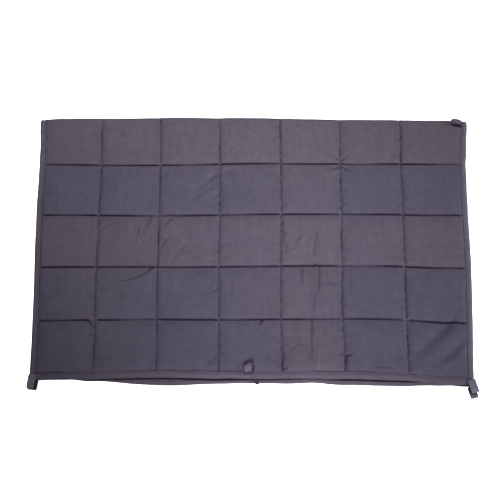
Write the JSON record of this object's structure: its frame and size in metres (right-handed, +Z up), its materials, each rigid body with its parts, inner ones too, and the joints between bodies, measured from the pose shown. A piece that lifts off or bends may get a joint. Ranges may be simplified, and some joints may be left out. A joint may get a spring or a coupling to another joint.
{
  "type": "weighted pet blanket",
  "caption": "Folded quilted blanket with bead-filled squares, bound edges and tape loops, laid flat; adds gentle weight over a resting pet.",
  "frame": {"origin": "on the floor, under the middle square of the lower layer", "axes": "+Z up, +X along the fold to the right, -Y towards the two open ends"},
  "size_m": [0.7181, 0.5348, 0.0259],
  "materials": {
    "quilt_cloth": "smooth brushed woven cloth with a faint sheen",
    "binding_cloth": "folded strip of the same cloth, top-stitched",
    "loop_tape": "flat folded tape of the same cloth"
  },
  "bodies": {
    "root": {"quilt": "quilt_cloth", "binding_left": "binding_cloth", "binding_right": "binding_cloth", "binding_front_upper": "binding_cloth", "binding_front_lower": "binding_cloth", "loop_front_left_upper": "loop_tape", "loop_front_left_lower": "loop_tape", "loop_front_right_upper": "loop_tape", "loop_front_right_lower": "loop_tape", "loop_front_centre_upper": "loop_tape", "loop_front_centre_lower": "loop_tape", "loop_back_right": "loop_tape"}
  },
  "joints": []
}
